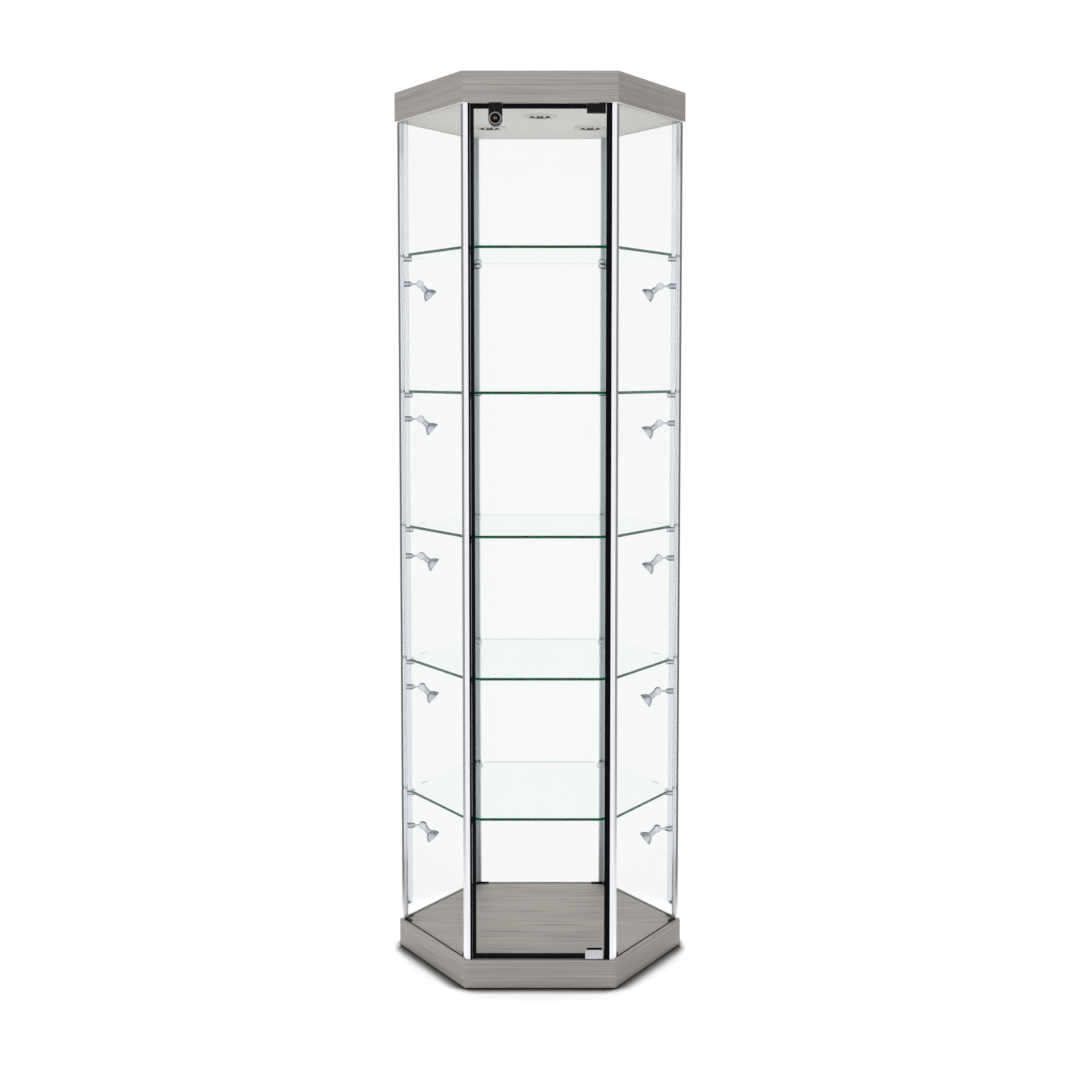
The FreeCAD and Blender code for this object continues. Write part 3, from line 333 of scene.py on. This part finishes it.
finishes = {  # which finish each slot of the record wears
    "white_melamine": whiteMelamine, "hardboard": hardboard, "softwood": softwood, "nylon": nylon,
    "black_plastic": blackPlastic, "white_enamel": whiteEnamel, "lamp_lens": lampLens,
    "driver_case": driverCase, "grommet_rubber": blackRubber, "anodised_aluminium": aluminium,
    "clear_glass": paneGlass, "shelf_glass": shelfGlass, "clear_plastic": railPlastic,
    "satin_metal": satinMetal, "key_brass": blackBrass, "seal_rubber": blackRubber,
    "black_enamel": blackEnamel, "satin_steel": satinNickel, "zinc_steel": zincSteel,
    "ash_laminate": fasciaLaminate,
}
for row in frame["record"]["subparts"]:
    mesh = nodes[row["node"]].data
    mesh.materials.clear()
    mesh.materials.append(finishes[row["material_slot"]])
nodes["plinth_deck"].data.materials[0] = litDeckLaminate
nodes["shelf_pegs"].data.materials[0] = pegMetal
inwards = {"left": 1, "right": -1}  # the way along X that each side's spotlights face
spotRows = range(1, 6)
for side in inwards:
    nodes["post_back_" + side].data.materials[0] = shadedAluminium
    nodes["post_" + side].data.materials[0] = litSideAluminium
    for row in spotRows:
        nodes["spot_arm_%s_%d" % (side, row)].data.materials[0] = polishedMetal
print("CAD nodes dressed")

workSettings = {
    "flatTop": 0.9,  # a face is a top where its normal rises more than this
    "softCorner": math.radians(35),  # smaller turns between faces are shaded smooth
    "roundingSteps": 2,
}


def selectOnly(piece):  # operators act on all that is selected
    bpy.ops.object.select_all(action="DESELECT")
    piece.select_set(True)
    bpy.context.view_layer.objects.active = piece


def addDisc(radius, height, corners):  # a disc that stands on Z 0, to be shaped
    bpy.ops.mesh.primitive_cylinder_add(vertices=corners, radius=radius, depth=height,
                                        location=(0, 0, height / 2))
    disc = bpy.context.active_object
    selectOnly(disc)
    bpy.ops.object.transform_apply(location=True)
    return disc


def pickFaces(piece, test):  # edit mode, with the faces whose middle and normal pass a test
    bpy.ops.object.mode_set(mode="EDIT")
    bpy.ops.mesh.select_mode(type="FACE")
    bpy.ops.mesh.select_all(action="DESELECT")
    bpy.ops.object.mode_set(mode="OBJECT")
    for face in piece.data.polygons:
        face.select = test(face.center, face.normal)
    bpy.ops.object.mode_set(mode="EDIT")


def roundEdges(piece, width):  # a small worked edge, then smooth shading between sharp corners
    bpy.ops.object.mode_set(mode="OBJECT")
    rounding = piece.modifiers.new("edges", "BEVEL")
    rounding.width = width
    rounding.segments = workSettings["roundingSteps"]
    bpy.ops.object.modifier_apply(modifier=rounding.name)
    bpy.ops.object.shade_smooth_by_angle(angle=workSettings["softCorner"])


def spreadCopies(master, name, material, places):  # each copy has its own mesh, at its place and body
    master.data.materials.append(material)
    for index, (matrix, body) in enumerate(places):
        selectOnly(master)
        bpy.ops.object.duplicate()
        copy = bpy.context.active_object
        copy.matrix_world = matrix
        bpy.ops.object.transform_apply(location=True, rotation=True, scale=True)
        copy.name = copy.data.name = name if len(places) == 1 else "%s%d" % (name, index + 1)
        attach(copy, body)
    selectOnly(master)
    bpy.ops.object.delete()


def aimed(start, direction):  # a place whose Z axis points along a direction
    return Matrix.Translation(start) @ Vector(direction).to_track_quat("Z", "Y").to_matrix().to_4x4()


# spotlight lens: a pressed disc with a flat rim and a low crown, on the lens of each head
lensSettings = {"radius": 0.0148, "base": 0.0003, "corners": 48, "seat": 0.0376, "rounding": 0.0001,
                "crown": [(0.0022, 0.0), (0.0036, 0.00022), (0.0038, 0.00014), (0.0032, 0.00006)],
                "lowest": 2}  # degrees below level at the head's lower limit
spotLens = addDisc(lensSettings["radius"], lensSettings["base"], lensSettings["corners"])
pickFaces(spotLens, lambda middle, normal: normal.z > workSettings["flatTop"])
for step, lift in lensSettings["crown"]:  # inwards and up
    bpy.ops.mesh.inset(thickness=step)
    bpy.ops.transform.translate(value=(0, 0, lift))
roundEdges(spotLens, lensSettings["rounding"])
lensPlaces = []
for side, way in inwards.items():
    for row in spotRows:
        tilt = joints["spot_%s_%d_tilt" % (side, row)]
        drop = math.radians(lensSettings["lowest"] - tilt["range_deg"][0])
        along = Vector((way * math.cos(drop), 0, -math.sin(drop)))
        seat = Vector(tilt["pos_m"]) + along * lensSettings["seat"]
        lensPlaces.append((aimed(seat, along), tilt["child"]))
spreadCopies(spotLens, "spotLens", pressedGlass, lensPlaces)
print("spotlight lenses placed:", len(lensPlaces))

# pivot caps: a low turned cap on each cheek of the heads' forks
capSettings = {"radius": 0.0066, "height": 0.0008, "corners": 40, "rim": 0.0016, "dish": 0.0003,
               "rounding": 0.0002, "cheek": 0.0056}  # the cheek's face, from the middle of the knuckle
pivotCap = addDisc(capSettings["radius"], capSettings["height"], capSettings["corners"])
pickFaces(pivotCap, lambda middle, normal: normal.z > workSettings["flatTop"])
bpy.ops.mesh.inset(thickness=capSettings["rim"])
bpy.ops.mesh.extrude_region_move(TRANSFORM_OT_translate={"value": (0, 0, -capSettings["dish"])})
roundEdges(pivotCap, capSettings["rounding"])
capPlaces = []
for _, body in lensPlaces:
    knuckle = Vector(joints[body.replace("_head", "_tilt")]["pos_m"])
    for way in (-1, 1):
        outwards = Vector((0, way, 0))
        capPlaces.append((aimed(knuckle + outwards * capSettings["cheek"], outwards), body))
spreadCopies(pivotCap, "pivotCap", polishedMetal, capPlaces)
print("pivot caps placed:", len(capPlaces))

# downlights: a faceted reflector cup with three lamp domes in each
downlightSettings = {
    "lensRadius": 0.031, "flange": 0.0025,  # of the CAD lens, and of the bezel under the ceiling
    "mouthRadius": 0.0237, "mouthDrop": 0.0022, "throatRadius": 0.0172, "corners": 32, "wall": 0.0005,
    "facetCuts": 2, "facetRim": 0.0003, "facetDepth": 0.0002, "facetCorner": 20,
    "domeRadius": 0.0041, "domeSegments": 24, "domeRings": 16, "cutNear": 0.0001,
    "domeRing": 0.0118, "domeDrop": 0.0028, "domeTurns": (-90, 30, 150),
    "neckStep": 0.0008, "neckShare": 0.6,  # a dome's stem steps in for the upper part of its height
}
lensLow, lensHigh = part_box("downlight_lenses")
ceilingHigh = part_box("downlight_bezels")[0].z + downlightSettings["flange"]
cupBottom = ceilingHigh - downlightSettings["mouthDrop"]
cupDepth = lensLow.z - cupBottom
lensRadius = downlightSettings["lensRadius"]
lampPlaces = [(0.0, lensLow.y + lensRadius), (lensLow.x + lensRadius, lensHigh.y - lensRadius),
              (lensHigh.x - lensRadius, lensHigh.y - lensRadius)]
bpy.ops.mesh.primitive_cone_add(vertices=downlightSettings["corners"], depth=cupDepth,
                                radius1=downlightSettings["mouthRadius"],
                                radius2=downlightSettings["throatRadius"],
                                end_fill_type="NOTHING", location=(0, 0, cupDepth / 2))
reflector = bpy.context.active_object
selectOnly(reflector)
bpy.ops.object.transform_apply(location=True)
pickFaces(reflector, lambda middle, normal: True)
bpy.ops.mesh.subdivide(number_cuts=downlightSettings["facetCuts"])
bpy.ops.mesh.inset(thickness=downlightSettings["facetRim"], depth=downlightSettings["facetDepth"],
                   use_individual=True)
bpy.ops.object.mode_set(mode="OBJECT")
shell = reflector.modifiers.new("wall", "SOLIDIFY")
shell.thickness = downlightSettings["wall"]
bpy.ops.object.modifier_apply(modifier=shell.name)
bpy.ops.object.shade_smooth_by_angle(angle=math.radians(downlightSettings["facetCorner"]))
spreadCopies(reflector, "downlightReflector", reflectorMetal,
             [(Matrix.Translation((x, y, cupBottom)), "case") for x, y in lampPlaces])

domeStem = lensLow.z - (ceilingHigh - downlightSettings["domeDrop"] + downlightSettings["domeRadius"])
neck = domeStem * downlightSettings["neckShare"]
bpy.ops.mesh.primitive_uv_sphere_add(segments=downlightSettings["domeSegments"],
                                     ring_count=downlightSettings["domeRings"],
                                     radius=downlightSettings["domeRadius"])
lampDome = bpy.context.active_object
selectOnly(lampDome)
bpy.ops.object.mode_set(mode="EDIT")
bpy.ops.mesh.select_all(action="SELECT")
bpy.ops.mesh.bisect(plane_co=(0, 0, 0), plane_no=(0, 0, 1), clear_outer=True, use_fill=True)
pickFaces(lampDome, lambda middle, normal: (  # the cut face
    normal.z > workSettings["flatTop"] and middle.z > -downlightSettings["cutNear"]))
bpy.ops.mesh.extrude_region_move(TRANSFORM_OT_translate={"value": (0, 0, domeStem - neck)})
bpy.ops.mesh.inset(thickness=downlightSettings["neckStep"])
bpy.ops.mesh.extrude_region_move(TRANSFORM_OT_translate={"value": (0, 0, neck)})
bpy.ops.object.mode_set(mode="OBJECT")
bpy.ops.object.shade_smooth_by_angle(angle=workSettings["softCorner"])
domePlaces = []
for x, y in lampPlaces:
    for turn in map(math.radians, downlightSettings["domeTurns"]):
        domeX = x + downlightSettings["domeRing"] * math.cos(turn)
        domeY = y + downlightSettings["domeRing"] * math.sin(turn)
        domePlaces.append((Matrix.Translation((domeX, domeY, lensLow.z - domeStem)), "case"))
spreadCopies(lampDome, "lampDome", siliconeDome, domePlaces)
print("downlights filled:", len(lampPlaces))

# lock furniture: a raised ring round the key, and the bronze plug beside the key slot
lockSettings = {"ringOuter": 0.013, "ringWall": 0.0022, "ringProud": 0.0015, "ringCorners": 64,
                "ringRounding": 0.0004, "plugRadius": 0.0034, "plugProud": 0.0005, "plugCorners": 48,
                "plugRounding": 0.00015, "slotHalf": 0.0008}
keyPlace = Vector(joints["key_turn"]["pos_m"])
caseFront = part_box("lock_case")[0].y
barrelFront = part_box("lock_barrel")[0].y
lockRing = addDisc(lockSettings["ringOuter"], lockSettings["ringProud"], lockSettings["ringCorners"])
pickFaces(lockRing, lambda middle, normal: abs(normal.z) > workSettings["flatTop"])
bpy.ops.mesh.inset(thickness=lockSettings["ringWall"])
bpy.ops.mesh.bridge_edge_loops()
roundEdges(lockRing, lockSettings["ringRounding"])
spreadCopies(lockRing, "lockRing", ringMetal,
             [(aimed((keyPlace.x, caseFront, keyPlace.z), (0, -1, 0)), "door")])

keyPlug = addDisc(lockSettings["plugRadius"], lockSettings["plugProud"], lockSettings["plugCorners"])
bpy.ops.object.mode_set(mode="EDIT")
bpy.ops.mesh.select_all(action="SELECT")
bpy.ops.mesh.bisect(plane_co=(lockSettings["slotHalf"], 0, 0), plane_no=(1, 0, 0), clear_inner=True,
                    use_fill=True)
bpy.ops.object.mode_set(mode="OBJECT")
mirror = keyPlug.modifiers.new("otherHalf", "MIRROR")
mirror.use_mirror_merge = False
bpy.ops.object.modifier_apply(modifier=mirror.name)
roundEdges(keyPlug, lockSettings["plugRounding"])
keyFace = Matrix.Translation((keyPlace.x, barrelFront, keyPlace.z)) @ Matrix.Rotation(math.pi / 2, 4, "X")
spreadCopies(keyPlug, "keyPlug", bronze, [(keyFace, "key_barrel")])
print("lock dressed")

# clamp liner: the rubber that lines the lower clamp shows as a lip on the glass above it; the black lip is
# partly painted shadow along the clamp's top
linerSettings = {"lip": 0.0018, "height": 0.0022, "short": 0.0032, "rounding": 0.0003,
                 "taper": (0.97, 0.6, 1)}  # the lip thins upwards, flat on the glass
clampLow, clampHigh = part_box("hinge_clamp_bottom")
glassLow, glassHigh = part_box("door_glass")
linerLength = clampHigh.x - clampLow.x - 2 * linerSettings["short"]
linerX = (clampLow.x + clampHigh.x) / 2
bpy.ops.mesh.primitive_cube_add(size=1.0, location=(
    linerX, glassLow.y - linerSettings["lip"] / 2, clampHigh.z + linerSettings["height"] / 2))
clampLiner = bpy.context.active_object
clampLiner.scale = (linerLength, linerSettings["lip"], linerSettings["height"])
selectOnly(clampLiner)
bpy.ops.object.transform_apply(location=True, rotation=True, scale=True)
pickFaces(clampLiner, lambda middle, normal: normal.z > workSettings["flatTop"])
bpy.ops.transform.resize(value=linerSettings["taper"], center_override=(linerX, glassLow.y, clampHigh.z))
bpy.ops.object.mode_set(mode="OBJECT")
glassMiddle = bpy.data.objects.new("glassMiddle", None)
bpy.context.scene.collection.objects.link(glassMiddle)
glassMiddle.location = (0, (glassLow.y + glassHigh.y) / 2, 0)
mirror = clampLiner.modifiers.new("rearLip", "MIRROR")
mirror.use_axis = (False, True, False)
mirror.use_mirror_merge = False
mirror.mirror_object = glassMiddle
bpy.context.view_layer.update()
bpy.ops.object.modifier_apply(modifier=mirror.name)
bpy.data.objects.remove(glassMiddle)
roundEdges(clampLiner, linerSettings["rounding"])
spreadCopies(clampLiner, "clampLiner", blackRubber, [(Matrix.Identity(4), "door")])
print("clamp lined")

# rail ends: a curved plug inside each rail's foot, and the screw that holds the rail to its post
railEnd = {"reach": 0.0124, "foot": 0.0011, "turn": 0.0039,  # the rail's channel, from the post's nose
           "play": 0.0001, "thick": 0.003, "width": 0.0128, "behind": 0.0003,  # the plug in it
           "bendSteps": 8, "weld": 0.00001, "rounding": 0.0003,
           "screwRadius": 0.0032, "screwHead": 0.0026, "screwCorners": 32, "screwHigh": 0.0112,
           "screwBevel": 0.0009, "bevelSteps": 3, "slotWidth": 0.0009, "slotDepth": 0.0014}
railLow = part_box("light_rails")[0]
noseX = joints["spot_right_1_swivel"]["pos_m"][0]
innerX = noseX - railEnd["reach"] + railEnd["foot"] + railEnd["play"]
floorZ = railLow.z + railEnd["foot"] + railEnd["play"]
bendRadius = railEnd["turn"] - railEnd["play"]
bendX = innerX + bendRadius
bendZ = floorZ + bendRadius
startX = noseX - railEnd["behind"]
bpy.ops.mesh.primitive_plane_add(size=1.0, location=(startX, 0, floorZ + railEnd["thick"] / 2),
                                 rotation=(0, -math.pi / 2, 0))
railPlug = bpy.context.active_object
railPlug.scale = (railEnd["thick"], railEnd["width"], 1)
selectOnly(railPlug)
bpy.ops.object.transform_apply(location=True, rotation=True, scale=True)
pickFaces(railPlug, lambda middle, normal: True)
bpy.ops.mesh.extrude_region_move(TRANSFORM_OT_translate={"value": (bendX - startX, 0, 0)})
bpy.ops.mesh.spin(steps=railEnd["bendSteps"], angle=math.pi / 2, center=(bendX, 0, bendZ), axis=(0, 1, 0))
bpy.ops.mesh.select_all(action="SELECT")
bpy.ops.mesh.remove_doubles(threshold=railEnd["weld"])
bpy.ops.mesh.normals_make_consistent(inside=False)
roundEdges(railPlug, railEnd["rounding"])
halfTurn = Matrix.Rotation(math.pi, 4, "Z")
spreadCopies(railPlug, "railPlug", plugPlastic, [(Matrix.Identity(4), "case"), (halfTurn, "case")])

railScrew = addDisc(railEnd["screwRadius"], railEnd["screwHead"], railEnd["screwCorners"])
pickFaces(railScrew, lambda middle, normal: normal.z > workSettings["flatTop"])
bpy.ops.mesh.bevel(offset=railEnd["screwBevel"], segments=railEnd["bevelSteps"], affect="EDGES")
bpy.ops.object.mode_set(mode="OBJECT")
bpy.ops.mesh.primitive_cube_add(size=1.0, location=(0, 0, railEnd["screwHead"]))
cutter = bpy.context.active_object
cutter.scale = (railEnd["slotWidth"], 4 * railEnd["screwRadius"], 2 * railEnd["slotDepth"])
selectOnly(railScrew)
groove = railScrew.modifiers.new("slot", "BOOLEAN")
groove.object = cutter
bpy.ops.object.modifier_apply(modifier=groove.name)
bpy.ops.object.shade_smooth_by_angle(angle=workSettings["softCorner"])
selectOnly(cutter)
bpy.ops.object.delete()
screwZ = railLow.z + railEnd["screwHigh"]
spreadCopies(railScrew, "railScrew", blackSteel,
             [(aimed((way * noseX, 0, screwZ), (-way, 0, 0)), "case") for way in (-1, 1)])
print("rail ends fitted")

# stage: pale floor, soft studio light, white beyond
stageSettings = {
    "floorSize": 16.0, "floor": "#f4f4f3", "worldLight": 0.8,
    "lift": 0.2, "fade": (0.36, 0.5),  # the floor's glow by the plinth, and where it turns to white
    "contact": 0.05, "contactShadowTone": "#4a4846", "contactShadowShare": (0.56, 0.9), "contactSamples": 8,
    "flagLight": 0.16, "flagSide": (0.6, 0.74), "flagSideEnd": (0.93, 0.99),
    "flagBack": (0.1, 0.4), "flagTop": (0.55, 0.85),  # each fades in over these shares of a direction
    "lampSize": 2.6,
    "lamps": [  # place, aim, watts
        ((-3.0, -4.6, 1.1), (0, 0, 0.8), 76),
        ((3.2, -4.2, 1.1), (0, 0, 0.8), 3),
        ((0.0, -0.6, 4.2), (0, 0, 0.0), 45),
        ((0.0, 3.8, 3.0), (0, 0, 0.2), 140),
    ],
}


def seenRays(tree):  # 1 for rays from the camera, from gloss and through glass
    path = addNode(tree, "ShaderNodeLightPath")
    glossy = addNode(tree, "ShaderNodeMath", {"operation": "MAXIMUM"},
                     {0: path.outputs["Is Camera Ray"], 1: path.outputs["Is Glossy Ray"]})
    return addNode(tree, "ShaderNodeMath", {"operation": "MAXIMUM"},
                   {0: glossy.outputs[0], 1: path.outputs["Is Transmission Ray"]}).outputs[0]


def flagShare(tree, way):  # satin metal also mirrors dark flags: one overhead, one at each back corner
    split = addNode(tree, "ShaderNodeSeparateXYZ", links={0: way})
    across = addNode(tree, "ShaderNodeMath", {"operation": "ABSOLUTE"}, {0: split.outputs["X"]}).outputs[0]
    values = {"flagSide": across, "flagSideEnd": across,
              "flagBack": split.outputs["Y"], "flagTop": split.outputs["Z"]}
    steps = {}
    for key, value in values.items():
        start, end = stageSettings[key]
        steps[key] = addNode(tree, "ShaderNodeMapRange", {
            "interpolation_type": "SMOOTHSTEP", "From Min": start, "From Max": end}, {0: value}).outputs[0]
    corner = addNode(tree, "ShaderNodeMath", {"operation": "SUBTRACT", "use_clamp": True},
                     {0: steps["flagSide"], 1: steps["flagSideEnd"]})
    behind = addNode(tree, "ShaderNodeMath", {"operation": "MULTIPLY"},
                     {0: corner.outputs[0], 1: steps["flagBack"]})
    flag = addNode(tree, "ShaderNodeMath", {"operation": "MAXIMUM"},
                   {0: behind.outputs[0], 1: steps["flagTop"]})
    path = addNode(tree, "ShaderNodeLightPath")
    satinRay = addNode(tree, "ShaderNodeMath", {"operation": "SUBTRACT", "use_clamp": True},
                       {0: path.outputs["Is Glossy Ray"], 1: path.outputs["Is Singular Ray"]})
    return addNode(tree, "ShaderNodeMath", {"operation": "MULTIPLY"},
                   {0: flag.outputs[0], 1: satinRay.outputs[0]}).outputs[0]


bpy.ops.mesh.primitive_plane_add(size=stageSettings["floorSize"], location=(0, 0, 0))
floor = bpy.context.active_object
floor.name = "floor"
# floor paint: matt and pale, with a painted contact shadow where the plinth nearly touches it, and white
# further out
material, tree, shader = startMaterial("palePaintedFloor", {"Roughness": 0.9, "Specular IOR Level": 0.0})
# painted shadow: occlusion near the plinth darkens the floor's colour and glow
near = addNode(tree, "ShaderNodeAmbientOcclusion", {
    "samples": stageSettings["contactSamples"], "Distance": stageSettings["contact"]}).outputs["AO"]
start, end = stageSettings["contactShadowShare"]
shade = addNode(tree, "ShaderNodeMapRange", {
    "interpolation_type": "SMOOTHSTEP", "From Min": start, "From Max": end}, {0: near}).outputs[0]
color = addNode(tree, "ShaderNodeMix", {
    "data_type": "RGBA", 6: hexColor(stageSettings["contactShadowTone"]), 7: hexColor(stageSettings["floor"])},
    {0: shade})
tree.links.new(color.outputs[2], shader.inputs["Base Color"])
lit = addNode(tree, "ShaderNodeMath", {"operation": "MULTIPLY"}, {0: shade, 1: seenRays(tree)})
glow = addNode(tree, "ShaderNodeEmission", {"Strength": stageSettings["lift"]}, {"Color": lit.outputs[0]})
both = addNode(tree, "ShaderNodeAddShader", links={0: shader.outputs[0], 1: glow.outputs[0]})
place = addNode(tree, "ShaderNodeTexCoord").outputs["Object"]
reach = addNode(tree, "ShaderNodeVectorMath", {"operation": "LENGTH"}, {0: place})
start, end = stageSettings["fade"]
fade = addNode(tree, "ShaderNodeMapRange", {
    "interpolation_type": "SMOOTHSTEP", "From Min": start, "From Max": end}, {0: reach.outputs["Value"]})
openShare = addNode(tree, "ShaderNodeMath", {"operation": "MULTIPLY"},
                    {0: fade.outputs[0], 1: seenRays(tree)})
white = addNode(tree, "ShaderNodeEmission", {"Strength": 1.0})
ground = addNode(tree, "ShaderNodeMixShader", links={
    0: openShare.outputs[0], 1: both.outputs[0], 2: white.outputs[0]})
outwards = addNode(tree, "ShaderNodeVectorMath", {"operation": "NORMALIZE"}, {0: place})
dim = addNode(tree, "ShaderNodeEmission", {"Strength": stageSettings["flagLight"]})
seen = addNode(tree, "ShaderNodeMixShader", links={
    0: flagShare(tree, outwards.outputs[0]), 1: ground.outputs[0], 2: dim.outputs[0]})
tree.links.new(seen.outputs[0], tree.nodes["Material Output"].inputs["Surface"])
floor.data.materials.append(material)

world = bpy.data.worlds.new("studio")
bpy.context.scene.world = world
world.use_nodes = True
tree = world.node_tree
tree.nodes.clear()
level = addNode(tree, "ShaderNodeMapRange", {"To Min": stageSettings["worldLight"], "To Max": 1.0},
                {0: seenRays(tree)})
flagged = flagShare(tree, addNode(tree, "ShaderNodeTexCoord").outputs["Generated"])
kept = addNode(tree, "ShaderNodeMapRange", {"To Min": 1.0, "To Max": stageSettings["flagLight"]},
               {0: flagged})
strength = addNode(tree, "ShaderNodeMath", {"operation": "MULTIPLY"},
                   {0: level.outputs[0], 1: kept.outputs[0]})
sky = addNode(tree, "ShaderNodeBackground", {"Color": (1, 1, 1, 1)}, {"Strength": strength.outputs[0]})
addNode(tree, "ShaderNodeOutputWorld", links={"Surface": sky.outputs[0]})

for index, (place, aim, watts) in enumerate(stageSettings["lamps"]):
    bpy.ops.object.light_add(type="AREA", location=place)
    lamp = bpy.context.active_object
    lamp.name = "softbox%d" % index
    lamp.rotation_euler = (Vector(aim) - Vector(place)).to_track_quat("-Z", "Y").to_euler()
    lamp.data.size = stageSettings["lampSize"]
    lamp.data.energy = watts
    lamp.visible_transmission = False  # no lamp shows in the glass or the metal
    lamp.visible_glossy = False

# camera: fitted to the corners of the plinth and the canopy
cameraSettings = {"place": (0.0, -3.881, 1.3506), "downTilt": 4.62, "sensor": 36.0, "lens": 56.13,
                  "shift": -0.03, "bounces": 32}  # enough for rays that cross every pane and shelf
bpy.ops.object.camera_add(location=cameraSettings["place"])
camera = bpy.context.active_object
camera.rotation_euler = (math.radians(90 - cameraSettings["downTilt"]), 0, 0)
camera.data.sensor_width = cameraSettings["sensor"]
camera.data.lens = cameraSettings["lens"]
camera.data.shift_y = cameraSettings["shift"]
scene = bpy.context.scene
scene.camera = camera
scene.view_settings.view_transform = "Standard"
scene.cycles.max_bounces = cameraSettings["bounces"]
scene.cycles.transmission_bounces = cameraSettings["bounces"]
scene.cycles.glossy_bounces = cameraSettings["bounces"]
scene.cycles.transparent_max_bounces = cameraSettings["bounces"]
print("stage set")
